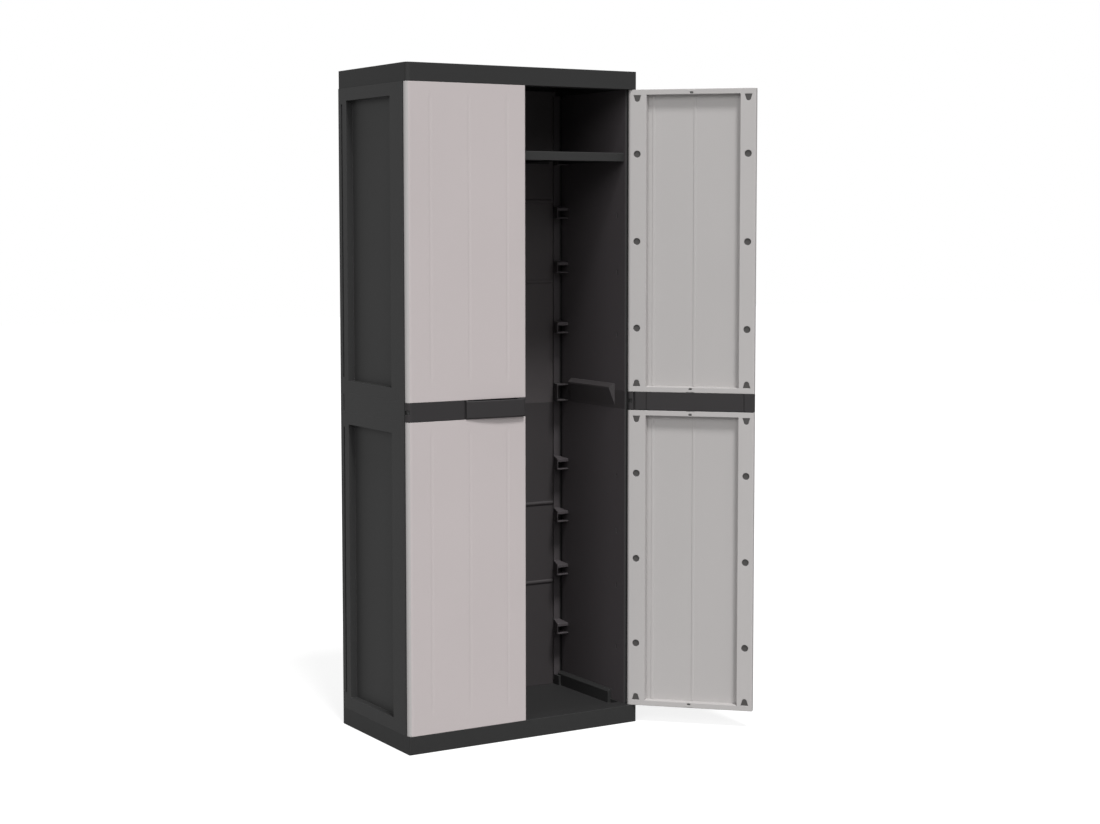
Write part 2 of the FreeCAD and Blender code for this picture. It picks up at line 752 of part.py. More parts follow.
def shelf(name, left, right, front, supports, slots):
    """A shelf with its underside at zero height: a plate with rims, ribs and a raised front lip.

    The slots at its rear let the side walls of the seats in.
    """
    rear = f"{FLANGE_FRONT} - shelf_play"
    block = box(f"{name}_block", (left, front, "0"), (right, rear, SHELF_HEIGHT))
    hollow = box(
        f"{name}_hollow",
        (f"{left} + shelf_plate", f"{front} + shelf_lip_thickness", f"-{PAST}"),
        (f"{right} - shelf_plate", f"{rear} - shelf_plate", f"{SHELF_HEIGHT} - shelf_plate"),
    )
    lip = box(
        f"{name}_lip_block",
        (left, front, "0"),
        (right, f"{front} + shelf_lip_thickness", "shelf_lip_height"),
    )
    doc.recompute()
    top = lip.Shape.BoundBox.ZMax
    rounded_lip = doc.addObject("Part::Fillet", f"{name}_lip")
    rounded_lip.Base = lip
    rounded_lip.Edges = [
        (number, size("shelf_lip_radius"), size("shelf_lip_radius"))
        for number, edge in enumerate(lip.Shape.Edges, start=1)
        if edge.BoundBox.XLength > size("shelf_lip_height") and edge.BoundBox.ZMin > top - TOUCHING
    ]
    pieces = [cut(f"{name}_tray", block, [hollow]), rounded_lip]
    rib_top = f"{SHELF_HEIGHT} - shelf_plate / 2"
    for number, middle in enumerate(supports, start=1):
        pieces.append(
            box(
                f"{name}_rib_{number}",
                (f"{middle} - shelf_plate / 2", f"{front} + shelf_plate", "0"),
                (f"{middle} + shelf_plate / 2", f"{rear} - shelf_plate / 2", rib_top),
            )
        )
    cross = f"{FRONT} + cross_rib_setback"
    pieces.append(
        box(
            f"{name}_cross_rib",
            (f"{left} + shelf_plate / 2", f"{cross} - shelf_plate / 2", "seat_rib"),
            (f"{right} - shelf_plate / 2", f"{cross} + shelf_plate / 2", rib_top),
        )
    )
    slot_boxes = [
        box(
            f"{name}_slot_{number}",
            (low, f"{FLANGE_FRONT} - seat_length - shelf_play", f"-{PAST}"),
            (high, f"{rear} + {PAST}", f"{SHELF_HEIGHT} + {PAST}"),
        )
        for number, (low, high) in enumerate(slots, start=1)
    ]
    return cut(f"{name}_shape", fuse(f"{name}_whole", pieces), slot_boxes)


def partition(name, start, end, ledges, tongue_up):
    """One half of the partition: a framed board with a web, and ledges for the half shelves."""
    front = f"{FRONT} + rim_depth + shelf_play"
    rear = FLANGE_FRONT
    block = box(f"{name}_block", (f"-{HALF_PARTITION}", front, start), (HALF_PARTITION, rear, end))
    recesses = []
    for side, near, far in (
        ("left", f"-{HALF_PARTITION} - {PAST}", "-partition_web / 2"),
        ("right", "partition_web / 2", f"{HALF_PARTITION} + {PAST}"),
    ):
        recesses.append(
            box(
                f"{name}_{side}_recess",
                (near, f"{front} + partition_border", f"{start} + partition_border"),
                (far, f"{rear} - partition_border", f"{end} - partition_border"),
            )
        )
    tongue_low = ("-partition_web / 2", f"{front} + partition_border")
    tongue_high = ("partition_web / 2", f"{rear} - partition_border")
    if tongue_up:
        tongue = box(
            f"{name}_tongue",
            (*tongue_low, f"{end} - {PAST}"),
            (*tongue_high, f"{end} + partition_tongue"),
        )
        pieces = [cut(f"{name}_board", block, recesses), tongue]
    else:
        slot = box(
            f"{name}_slot",
            (
                f"{tongue_low[0]} - spigot_clearance",
                f"{tongue_low[1]} - spigot_clearance",
                f"{start} - {PAST}",
            ),
            (
                f"{tongue_high[0]} + spigot_clearance",
                f"{tongue_high[1]} + spigot_clearance",
                f"{start} + partition_tongue + spigot_clearance",
            ),
        )
        pieces = [cut(f"{name}_board", block, recesses + [slot])]
    for number, top in enumerate(ledges, start=1):
        pieces.append(
            box(
                f"{name}_ledge_{number}",
                (f"-{HALF_PARTITION} - ledge_reach", f"{front} + partition_border", f"{top} - seat_rib"),
                ("0", f"{rear} - partition_border", top),
            )
        )
    return fuse(f"{name}_shape", pieces)


def door_outline(name, start, end):
    """The outline that door panels and door bands share, with its four rounded upright edges."""
    block = box(f"{name}_block", (DOOR_EDGE, DOOR_FRONT, start), (DOOR_FREE_EDGE, DOOR_BACK, end))
    return rounded(
        f"{name}_outline",
        block,
        (
            ("XMin", "YMin", "front_radius"),
            ("XMin", "YMax", "hinge_side_radius"),
            ("XMax", "YMin", "free_side_radius"),
            ("XMax", "YMax", "free_side_radius"),
        ),
    )


def slab(name, low_y, high_y):
    """A slab across the whole door between two depths."""
    return box(
        name,
        (f"{DOOR_EDGE} - {PAST}", low_y, f"-spigot_length - {PAST}"),
        (f"{DOOR_FREE_EDGE} + {PAST}", high_y, f"{DOOR_PANEL} + spigot_length + {PAST}"),
    )


def board_groove(number):
    """One soft groove of the board pattern, with ends that fade out."""
    middle = f"{DOOR_FREE_EDGE} + door_meeting_gap - board_width / 2 - {number} * board_width"
    radius = "(board_groove_width ^ 2 / (8 * board_groove_depth) + board_groove_depth / 2)"
    axis_y = f"{DOOR_FRONT} + board_groove_depth - {radius}"
    shallow = f"{radius} - board_groove_depth"
    low = "board_groove_low"
    high = f"{DOOR_PANEL} - board_groove_high"
    return [
        cylinder(
            f"groove_{number}_run",
            radius,
            (middle, axis_y, f"{low} + board_groove_fade"),
            f"{high} - {low} - 2 * board_groove_fade",
        ),
        cone(f"groove_{number}_foot", shallow, radius, (middle, axis_y, low), "board_groove_fade"),
        cone(
            f"groove_{number}_head",
            radius,
            shallow,
            (middle, axis_y, f"{high} - board_groove_fade"),
            "board_groove_fade",
        ),
    ]


def board_ridge(number):
    """The low ridge that a groove leaves on the inner side of the skin, in the window of the frame."""
    middle = f"({DOOR_FREE_EDGE} + door_meeting_gap - board_width / 2 - {number} * board_width)"
    foot = "board_groove_width / 2"
    crest = "board_groove_width / 4"
    low = "rim_end + slope_run + spigot_clearance"
    high = f"{DOOR_PANEL} - rim_end - slope_run - spigot_clearance"
    return taper(
        f"ridge_{number}",
        (f"{middle} - {foot}", f"{middle} + {foot}"),
        (f"{SKIN_BACK} - back_ridge_root", f"{SKIN_BACK} + back_ridge_height"),
        (low, high),
        (f"{middle} - {crest}", f"{middle} + {crest}"),
        (low, high),
    )


def door_shell():
    """The outer half of a door panel: a grooved skin with side walls and a hinge spigot at each end."""
    outline = door_outline("shell", "0", DOOR_PANEL)
    outer_slab = slab("shell_slab", f"{DOOR_FRONT} - {PAST}", FRAME_FRONT)
    outer_half = common("shell_outer_half", outline, outer_slab)
    hollow = box(
        "shell_hollow",
        (f"{DOOR_EDGE} + hinge_stile", SKIN_BACK, "door_skin"),
        (f"{DOOR_FREE_EDGE} - door_skin", f"{DOOR_BACK} + {PAST}", f"{DOOR_PANEL} - door_skin"),
    )
    grooves = [piece for number in range(3) for piece in board_groove(number)]
    shell = cut("shell_grooved", outer_half, [hollow] + grooves)
    spigot = cylinder(
        "shell_spigot",
        "spigot_radius",
        ("0", "0", "-spigot_length"),
        f"{DOOR_PANEL} + 2 * spigot_length",
    )
    ridges = [board_ridge(number) for number in (1, 2)]
    return fuse("door_shell", [shell, spigot] + ridges)


def rivet_places():
    """Middles of the round rivets of one panel, as formulas for X and Z."""
    columns = (f"{DOOR_EDGE} + rivet_from_hinge_side", f"{DOOR_FREE_EDGE} - rivet_from_free_side")
    rows = [f"({DOOR_PANEL}) / 2 + {step} * rivet_pitch" for step in (-1, 0, 1)]
    return [(x, z) for x in columns for z in rows]


def clip_places():
    """Middles of the shield-shaped clips of one panel, with the end that the flat side looks to."""
    columns = (f"{DOOR_EDGE} + rivet_from_hinge_side", f"{DOOR_FREE_EDGE} - rivet_from_free_side")
    rows = (("clip_from_end", -1), (f"{DOOR_PANEL} - clip_from_end", 1))
    return [(x, z, end) for x in columns for z, end in rows]


def rim_clip_places():
    """Middles of the small oval clips of one panel."""
    x = f"{DOOR_FREE_EDGE} - rim_clip_from_free_side"
    return [(x, "rim_clip_from_end", -1), (x, f"{DOOR_PANEL} - rim_clip_from_end", 1)]


def rivet_disc(name, x, z, low_y, high_y):
    return cylinder(name, "rivet_radius", (x, low_y, z), f"({high_y}) - ({low_y})", along="y")


def clip_disc(name, x, z, end, low_y, high_y):
    """A shield-shaped disc: a flat side towards the end of the panel, and a round one opposite."""
    disc_height = f"{z} - {end} * (clip_height / 2 - clip_radius)"
    length = f"({high_y}) - ({low_y})"
    disc = cylinder(f"{name}_disc", "clip_radius", (x, low_y, disc_height), length, along="y")
    flat_height = f"{z} + {end} * clip_height / 2"
    round_span = (f"{x} - clip_radius", f"{x} + clip_radius")
    flat_span = (f"{x} - clip_half_width", f"{x} + clip_half_width")
    depth = (f"-({high_y})", f"-({low_y})")
    if end > 0:
        shield = taper(f"{name}_shield", round_span, (disc_height, flat_height), depth, flat_span, depth)
    else:
        shield = taper(f"{name}_shield", flat_span, (flat_height, disc_height), depth, round_span, depth)
    shield.Placement = FreeCAD.Placement(FreeCAD.Vector(), FreeCAD.Rotation(FreeCAD.Vector(1, 0, 0), 90))
    return fuse(name, [disc, shield])


def oval_disc(name, x, z, low_y, high_y):
    """A slot-shaped disc."""
    radius = "rim_clip_height / 2"
    reach = "(rim_clip_width - rim_clip_height) / 2"
    length = f"({high_y}) - ({low_y})"
    return fuse(
        name,
        [
            cylinder(f"{name}_low", radius, (f"{x} - {reach}", low_y, z), length, along="y"),
            cylinder(f"{name}_high", radius, (f"{x} + {reach}", low_y, z), length, along="y"),
            box(
                f"{name}_middle",
                (f"{x} - {reach}", low_y, f"{z} - {radius}"),
                (f"{x} + {reach}", high_y, f"{z} + {radius}"),
            ),
        ],
    )


def door_frame():
    """The inner half of a door panel: a rim with a sunk window whose slopes rest on the skin."""
    outline = door_outline("frame", "0", DOOR_PANEL)
    plate = common("frame_plate", outline, slab("frame_slab", FRAME_FRONT, f"{DOOR_BACK} + {PAST}"))
    low_x = f"{DOOR_EDGE} + rim_hinge_side"
    high_x = f"{DOOR_FREE_EDGE} - rim_free_side"
    low_z = "rim_end"
    high_z = f"{DOOR_PANEL} - rim_end"
    steep = f"slope_run * (door_thickness - door_skin + {PAST}) / (door_thickness - door_skin)"
    window = taper(
        "frame_window",
        (f"{low_x} + slope_run", f"{high_x} - slope_run"),
        (SKIN_BACK, f"{DOOR_BACK} + {PAST}"),
        (f"{low_z} + slope_run", f"{high_z} - slope_run"),
        (f"{low_x} + slope_run - {steep}", f"{high_x} - slope_run + {steep}"),
        (f"{low_z} + slope_run - {steep}", f"{high_z} - slope_run + {steep}"),
    )
    slopes = taper(
        "frame_slopes",
        (f"{low_x} + slope_run - door_skin", f"{high_x} - slope_run + door_skin"),
        (SKIN_BACK, DOOR_BACK),
        (f"{low_z} + slope_run - door_skin", f"{high_z} - slope_run + door_skin"),
        (f"{low_x} - door_skin", f"{high_x} + door_skin"),
        (f"{low_z} - door_skin", f"{high_z} + door_skin"),
    )
    holes = []
    past_back = f"{DOOR_BACK} + {PAST}"
    for number, (x, z) in enumerate(rivet_places()):
        holes.append(rivet_disc(f"frame_rivet_hole_{number}", x, z, SKIN_BACK, past_back))
    for number, (x, z, end) in enumerate(clip_places()):
        holes.append(clip_disc(f"frame_clip_hole_{number}", x, z, end, SKIN_BACK, past_back))
    for number, (x, z, end) in enumerate(rim_clip_places()):
        holes.append(oval_disc(f"frame_oval_hole_{number}", x, z, FRAME_FRONT, past_back))
        edge = DOOR_PANEL if end > 0 else "0"
        holes.append(
            box(
                f"frame_notch_{number}",
                (f"{x} - rim_notch_width / 2", f"{DOOR_BACK} - rim_notch_depth", f"{edge} - rim_notch_depth"),
                (f"{x} + rim_notch_width / 2", past_back, f"{edge} + rim_notch_depth"),
            )
        )
    return cut("door_frame", fuse("frame_rim", [plate, slopes]), [window] + holes)


def door_rivets():
    """The round rivets of a whole door: a sunk head with a dish, and a shank down to the skin."""
    head_top = f"{DOOR_BACK} - rivet_sink"
    rivets = []
    for level, rise in (("lower", "0"), ("upper", "panel_height - door_gap + joiner_height")):
        for number, (x, z) in enumerate(rivet_places()):
            name = f"rivet_{level}_{number}"
            height = f"{z} + {rise}"
            head = rivet_disc(f"{name}_head", x, height, f"{head_top} - 2 * rivet_depth", head_top)
            shank = cylinder(
                f"{name}_shank",
                "rivet_shank_radius",
                (x, SKIN_BACK, height),
                f"{head_top} - rivet_depth - ({SKIN_BACK})",
                along="y",
            )
            dish = cylinder(
                f"{name}_dish",
                "rivet_radius - rivet_depth / 2",
                (x, f"{head_top} - rivet_depth", height),
                f"rivet_depth + {PAST}",
                along="y",
            )
            rivets.append(cut(name, fuse(f"{name}_body", [head, shank]), [dish]))
    group = doc.addObject("Part::Compound", "door_rivets")
    group.Links = rivets
    return group


def door_clips():
    """The shield-shaped clips of a whole door."""
    head_top = f"{DOOR_BACK} - rivet_sink"
    clips = []
    for level, rise in (("lower", "0"), ("upper", "panel_height - door_gap + joiner_height")):
        for number, (x, z, end) in enumerate(clip_places()):
            name = f"clip_{level}_{number}"
            height = f"{z} + {rise}"
            head = clip_disc(f"{name}_head", x, height, end, FRAME_FRONT, head_top)
            shank = cylinder(
                f"{name}_shank",
                "rivet_shank_radius",
                (x, SKIN_BACK, height),
                f"{head_top} - ({SKIN_BACK})",
                along="y",
            )
            clips.append(fuse(name, [head, shank]))
    group = doc.addObject("Part::Compound", "door_clips")
    group.Links = clips
    return group


def door_rim_clips():
    """The small oval clips of a whole door."""
    clips = []
    for level, rise in (("lower", "0"), ("upper", "panel_height - door_gap + joiner_height")):
        for number, (x, z, end) in enumerate(rim_clip_places()):
            clips.append(
                oval_disc(
                    f"rim_clip_{level}_{number}",
                    x,
                    f"{z} + {rise}",
                    FRAME_FRONT,
                    f"{DOOR_BACK} - rivet_sink",
                )
            )
    group = doc.addObject("Part::Compound", "door_rim_clips")
    group.Links = clips
    return group


def handle_bow():
    """A wide round bar that gives the handle its bowed front, with a bevel at its lower and upper edge."""
    low = "seam_gap"
    high = "(joiner_height - seam_gap - handle_dip)"
    return fuse(
        "handle_bow_bar",
        [
            cone(
                "handle_bow_foot",
                f"{BOW_RADIUS} - handle_low_bevel",
                BOW_RADIUS,
                (*BOW_MIDDLE, low),
                "handle_low_bevel",
            ),
            cylinder(
                "handle_bow_run",
                BOW_RADIUS,
                (*BOW_MIDDLE, f"{low} + handle_low_bevel"),
                f"{high} - {low} - handle_low_bevel - handle_high_bevel",
            ),
            cone(
                "handle_bow_head",
                BOW_RADIUS,
                f"{BOW_RADIUS} - handle_high_bevel",
                (*BOW_MIDDLE, f"{high} - handle_high_bevel"),
                "handle_high_bevel",
            ),
            cylinder(
                "handle_bow_rest",
                f"{BOW_RADIUS} - handle_high_bevel",
                (*BOW_MIDDLE, high),
                "seam_gap + handle_dip",
            ),
        ],
    )


def lug_notch(low, high):
    """The room for the lug of the side joiner, from the closed door to the stop."""
    half_arm = "(lug_arm_width / 2 + lug_play)"
    reach = "door_thickness"
    eye = cylinder("lug_eye_room", "lug_radius + lug_play", ("0", "0", low), f"{high} - ({low})")
    closed = box("lug_room_closed", (f"-{reach}", "0", low), (half_arm, reach, high))
    opened = box("lug_room_opened", (f"-{half_arm}", "0", low), (reach, reach, high))
    turned = doc.addObject("Part::Compound", "lug_room_turned")
    turned.Links = [opened]
    bind(turned, "Placement.Rotation.Angle", "door_stop_angle")
    return [eye, closed, turned]


def door_band():
    """The band between two door panels, with its handle, its hinge knuckles and its sockets."""
    face = door_outline("band", "seam_gap", "joiner_height - seam_gap")
    core = box(
        "band_core",
        ("0", SKIN_BACK, "0"),
        (f"{DOOR_FREE_EDGE} - door_skin", FRAME_FRONT, "joiner_height"),
    )
    handle_start = f"{DOOR_FREE_EDGE} - handle_length"
    handle_end = f"{DOOR_FREE_EDGE} - handle_end_gap"
    handle_block = rounded(
        "band_handle_block",
        box(
            "band_handle_outline",
            (handle_start, f"{DOOR_FRONT} - handle_reach", "seam_gap"),
            (handle_end, SKIN_BACK, "joiner_height - seam_gap"),
        ),
        (("XMax", "YMin", "handle_end_radius"),),
    )
    handle = common("band_handle", handle_block, handle_bow())
    whole = fuse("band_whole", [face, core, handle])
    above = f"joiner_height + {PAST}"
    grip_end = f"{DOOR_FREE_EDGE} - handle_end_wall"
    grip_space = box(
        "band_grip_space",
        (f"{handle_start} + 2 * handle_wall", f"{DOOR_FRONT} - handle_reach", "seam_gap + 2 * handle_wall"),
        (grip_end, f"{DOOR_FRONT} + handle_grip_back", above),
    )
    inner_bow = cylinder(
        "band_grip_bow",
        f"{BOW_RADIUS} - handle_wall",
        (*BOW_MIDDLE, "0"),
        f"joiner_height + {2 * PAST}",
    )
    grip = common("band_grip", grip_space, inner_bow)
    dip = box(
        "band_handle_dip",
        (
            f"{handle_start} + 2 * handle_wall",
            f"{DOOR_FRONT} - handle_reach - {PAST}",
            "joiner_height - seam_gap - handle_dip",
        ),
        (grip_end, DOOR_FRONT, above),
    )
    seam = box(
        "band_handle_seam",
        (f"{handle_start} - handle_seam_width", f"{DOOR_FRONT} - {PAST}", f"-{PAST}"),
        (handle_start, f"{DOOR_FRONT} + handle_seam_depth", above),
    )
    lines = []
    for side, middle in (
        ("hinge_side", f"{DOOR_EDGE} + band_line_hinge_side"),
        ("free_side", f"{DOOR_FREE_EDGE} - band_line_free_side"),
    ):
        lines.append(
            box(
                f"band_line_{side}",
                (f"{middle} - band_line_width / 2", f"{DOOR_BACK} - band_line_depth", f"-{PAST}"),
                (f"{middle} + band_line_width / 2", f"{DOOR_BACK} + {PAST}", above),
            )
        )
    lines.append(
        box(
            "band_slot",
            ("band_slot_from_axis", f"{DOOR_BACK} - band_slot_depth", f"-{PAST}"),
            ("band_slot_from_axis + band_slot_width", f"{DOOR_BACK} + {PAST}", above),
        )
    )
    half_lug = "(lug_height / 2 + lug_play)"
    notch = lug_notch(f"joiner_height / 2 - {half_lug}", f"joiner_height / 2 + {half_lug}")
    sockets = []
    for end, start in (("low", f"-{PAST}"), ("high", "joiner_height - spigot_length")):
        sockets.append(
            cylinder(
                f"band_{end}_socket",
                "spigot_radius + hinge_clearance",
                ("0", "0", start),
                f"spigot_length + {PAST}",
            )
        )
    pin_hole = cylinder(
        "band_pin_hole",
        "pin_radius",
        ("0", "0", "spigot_length"),
        "joiner_height - 2 * spigot_length",
    )
    return cut("door_band", whole, [grip, dip, seam] + lines + notch + sockets + [pin_hole])


def hinge_pin():
    return cylinder(
        "door_hinge_pin",
        "pin_radius",
        ("0", "0", "spigot_length"),
        "joiner_height - 2 * spigot_length",
    )


panel_master = side_panel()
joiner_master = side_joiner()
for hand, mirrored in (("right", False), ("left", True)):
    place(f"side_lower_{hand}", panel_master, ("0", "0", "base_height"), mirrored)
    place(f"side_upper_{hand}", panel_master, ("0", "0", JOINER_TOP), mirrored)
    place(f"side_joiner_{hand}", joiner_master, ("0", "0", JOINER_BOTTOM), mirrored)

stand("base_tray", base_tray())
place("top_cap", top_cap(), ("0", "0", CAP_BOTTOM))
SEAM_HEIGHT = f"{JOINER_BOTTOM} - back_seam_drop"
stand("back_lower", back_panel("back_low", "floor_height", SEAM_HEIGHT, "base_height", "base_height", False))
BACK_TOP = f"{CAP_BOTTOM} + back_lap"
stand("back_upper", back_panel("back_high", SEAM_HEIGHT, BACK_TOP, SEAM_HEIGHT, JOINER_TOP, True))

top_supports = [
    f"-({SIDE_INNER}) / 2",
    f"-{HALF_PARTITION} + shelf_plate / 2",
    f"{HALF_PARTITION} - shelf_plate / 2",
    f"({SIDE_INNER}) / 2",
]
shelf_edge = f"({SIDE_INNER} - shelf_play)"
slot_inner = f"({SIDE_INNER} - seat_reach - shelf_play)"
slot_outer = f"({FLANGE_EDGE} + seat_rib + {PAST})"
left_slot = (f"-{slot_outer}", f"-{slot_inner}")
right_slot = (slot_inner, slot_outer)
top_shelf_shape = shelf(
    "top",
    f"-{shelf_edge}",
    shelf_edge,
    f"{FRONT} + top_shelf_setback",
    top_supports,
    [left_slot, right_slot],
)
place("top_shelf", top_shelf_shape, ("0", "0", TOP_SHELF_BOTTOM))
half_shelf_shape = shelf(
    "half",
    f"-{shelf_edge}",
    f"-{HALF_PARTITION} - shelf_play",
    f"{FRONT} + half_shelf_setback",
    [f"-({SIDE_INNER}) / 2"],
    [left_slot],
)
HALF_SHELF_BOTTOMS = {
    "half_shelf_bottom": "base_height + seat_height_two - seat_opening / 2",
    "half_shelf_middle": "base_height + seat_height_four - seat_opening / 2",
    "half_shelf_top": f"{JOINER_TOP} + seat_height_one - seat_opening / 2",
}
for label, bottom in HALF_SHELF_BOTTOMS.items():
    place(label, half_shelf_shape, ("0", "0", bottom))

low_ledges = [HALF_SHELF_BOTTOMS["half_shelf_bottom"], HALF_SHELF_BOTTOMS["half_shelf_middle"]]
high_ledges = [HALF_SHELF_BOTTOMS["half_shelf_top"]]
stand("partition_lower", partition("partition_low", "floor_height", JOINER_MIDDLE, low_ledges, True))
stand("partition_upper", partition("partition_high", JOINER_MIDDLE, TOP_SHELF_BOTTOM, high_ledges, False))

shell_master = door_shell()
frame_master = door_frame()
BAND_RISE = f"{DOOR_BOTTOM} + {DOOR_PANEL}"
UPPER_RISE = f"{BAND_RISE} + joiner_height"
door_pieces = (
    ("lower_shell", shell_master, DOOR_BOTTOM),
    ("lower_frame", frame_master, DOOR_BOTTOM),
    ("upper_shell", shell_master, UPPER_RISE),
    ("upper_frame", frame_master, UPPER_RISE),
    ("band", door_band(), BAND_RISE),
    ("rivets", door_rivets(), DOOR_BOTTOM),
    ("corner_clips", door_clips(), DOOR_BOTTOM),
    ("rim_clips", door_rim_clips(), DOOR_BOTTOM),
    ("hinge_pin", hinge_pin(), BAND_RISE),
)
for hand, mirrored, hinge_x, angle in (
    ("left", False, f"-({HINGE_X})", "-left_door_angle"),
    ("right", True, HINGE_X, "right_door_angle"),
):
    for name, master, rise in door_pieces:
        place(f"door_{hand}_{name}", master, (hinge_x, HINGE_Y, rise), mirrored, angle)

doc.recompute()

for item in doc.Objects:
    if "Invalid" in item.State or "Error" in item.State:
        raise RuntimeError(f"{item.Label} did not recompute")
for node in nodes:
    if node.Shape.isNull() or not node.Shape.isValid():
        raise RuntimeError(f"{node.Label} has no valid shape")

os.makedirs("parts", exist_ok=True)
for node in nodes:
    node.Shape.exportStep(f"parts/{node.Label}.step")
print(len(nodes), "sub-parts written")
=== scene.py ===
import json
import math

import bpy
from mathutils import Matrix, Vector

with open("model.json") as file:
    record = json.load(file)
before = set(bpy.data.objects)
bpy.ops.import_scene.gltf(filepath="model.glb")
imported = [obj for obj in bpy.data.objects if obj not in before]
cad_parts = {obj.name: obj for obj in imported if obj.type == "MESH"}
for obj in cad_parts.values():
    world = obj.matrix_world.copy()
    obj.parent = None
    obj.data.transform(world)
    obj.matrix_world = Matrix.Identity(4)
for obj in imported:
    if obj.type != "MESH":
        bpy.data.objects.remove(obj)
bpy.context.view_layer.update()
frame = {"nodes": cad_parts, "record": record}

# Camera, fitted to the photograph: place in metres, angles in degrees and shift in shares of the sensor.
PHOTO_WIDTH_PIXELS = 1100
FOCAL_PIXELS = 2030.3
SENSOR_MILLIMETRES = 36
CAMERA_PLACE = (-2.4996, -4.4610, 1.2802)
CAMERA_TURN = -31.356
CAMERA_DOWN = 4.532
CAMERA_SHIFT = (-0.0120, -0.028)
CAMERA_REACH = 60

# Planes that part the inside from the outside, in metres from the middle of the cabinet's footprint;
# inside them the carcass gets its painted light.
INNER_HALF_WIDTH = 0.3045
BACK_PLANE = 0.1665
HINGE_X = 0.315
HINGE_Y = -0.175
# Depth of the middle of a door's skin, measured inward from the hinge axis; the painted shade on a
# door's inner side begins there.
SKIN_MIDDLE = -0.0085
# Degrees by which the right door stands open at rest.
RIGHT_DOOR_TURN = 135

# Colours as they show on screen, from 0 to 255.
CARCASS = (54, 54, 54)
# The inside colours below are the carcass plastic painted lighter: painted light inside the cabinet. The
# high back is painted lighter than the low back, against the shade under the shelf.
INSIDE_PAINTED_LIGHT = (74, 70, 72)
LOW_BACK_PAINTED_LIGHT = (62, 59, 60)
HIGH_BACK_PAINTED_LIGHT = (80, 76, 77)
CAP = (43, 43, 43)
SHELF = (46, 46, 46)
BAND = (47, 45, 46)
DOOR_SKIN = (185, 177, 177)
# The inner side of a door's skin is the same plastic painted darker: painted shade.
DOOR_SKIN_PAINTED_SHADE = (175, 172, 171)
# The door frames are the skin's plastic painted darker: painted shade on the doors' inner sides.
DOOR_FRAME_PAINTED_SHADE = (177, 174, 173)
RIVET = (70, 68, 67)
PIN = (62, 62, 62)

# The plastics. Lengths are metres.
ROUGHNESS = 0.5
ROUGHNESS_SPREAD = 0.05
CLOUD_SCALE = 3.5
CLOUD_DETAIL = 3
CLOUD_CONTRAST = 0.03
GRAIN_SCALE = 2500
GRAIN_DETAIL = 2
GRAIN_STRENGTH = 0.25
GRAIN_HEIGHT = 0.0001
SPECULAR = 0.5
DARK_SPECULAR = 0.3
SOFT_EDGE = 0.0015
FRAME_SOFT_EDGE = 0.002
EDGE_SAMPLES = 6
# Likeness of the softened normal to the true one where wear begins and where it is full.
WEAR_BEGINS = 0.98
WEAR_IS_FULL = 0.85
WEAR = 0.06
DARK_WEAR = 0.03
WORN_COLOUR = (0.5, 0.5, 0.5, 1)

# Floor, background and light. Lengths are metres.
WHITE = (1, 1, 1, 1)
FLOOR_COLOUR = (0.3, 0.3, 0.3, 1)
FLOOR_LIFT = 0.8
FLOOR_SIZE = 40
FLOOR_DROP = 0.0005
AMBIENT = 0.4
# Far lights: name, azimuth to the left of the front, elevation, width of the disc and strength.
LIGHTS = (
    ("key", 8, 60, 12, 2.8),
    ("side", 55, 25, 34, 0.75),
    ("front", 10, 25, 24, 0.3),
)


class Nodes:
    """A node tree, with short calls for making and joining nodes."""

    def __init__(self, owner):
        owner.use_nodes = True
        self.owner = owner
        self.tree = owner.node_tree
        self.tree.nodes.clear()

    def add(self, kind, inputs=(), **settings):
        """A new node, whose inputs are set to values or joined to the outputs of other nodes."""
        node = self.tree.nodes.new(kind)
        for key, value in settings.items():
            setattr(node, key, value)
        for key, value in dict(inputs).items():
            if isinstance(value, bpy.types.NodeSocket):
                self.tree.links.new(value, node.inputs[key])
            else:
                node.inputs[key].default_value = value
        return node

    def math(self, operation, *values):
        return self.add("ShaderNodeMath", enumerate(values), operation=operation).outputs[0]

    def vector_math(self, operation, *values):
        return self.add("ShaderNodeVectorMath", enumerate(values), operation=operation).outputs

    def mix(self, factor, first, second):
        """The first colour where the factor is zero, and the second where it is one."""
        inputs = {"Factor": factor, "A": first, "B": second}
        return self.add("ShaderNodeMix", inputs, data_type="RGBA").outputs["Result"]


def make_camera():
    data = bpy.data.cameras.new("camera")
    data.sensor_width = SENSOR_MILLIMETRES
    data.lens = FOCAL_PIXELS / PHOTO_WIDTH_PIXELS * SENSOR_MILLIMETRES
    data.shift_x, data.shift_y = CAMERA_SHIFT
    data.clip_end = CAMERA_REACH
    camera = bpy.data.objects.new("camera", data)
    camera.location = CAMERA_PLACE
    camera.rotation_euler = (math.radians(90 - CAMERA_DOWN), 0, math.radians(CAMERA_TURN))
    bpy.context.scene.collection.objects.link(camera)
    bpy.context.scene.camera = camera


def linear(values):
    """A colour given as it shows on screen, from 0 to 255, in the shader's linear numbers."""
    shares = [value / 255 for value in values]
    return tuple(s / 12.92 if s <= 0.04045 else ((s + 0.055) / 1.055) ** 2.4 for s in shares) + (1,)


def clouded(nodes, cloud, colour):
    """A colour that a noise makes a little darker and lighter."""
    base = linear(colour)[:3]
    darker = tuple(c * (1 - CLOUD_CONTRAST) for c in base) + (1,)
    lighter = tuple(c * (1 + CLOUD_CONTRAST) for c in base) + (1,)
    return nodes.mix(cloud, darker, lighter)


def painted_light_inside_cabinet(nodes, place):
    """One between the side walls and before the back, and zero elsewhere: where the carcass gets its
    painted light.
    """
    parts = nodes.add("ShaderNodeSeparateXYZ", {"Vector": place}).outputs
    across = nodes.math("ABSOLUTE", parts["X"])
    between_walls = nodes.math("LESS_THAN", across, INNER_HALF_WIDTH)
    before_back = nodes.math("LESS_THAN", parts["Y"], BACK_PLANE)
    return nodes.math("MULTIPLY", between_walls, before_back)


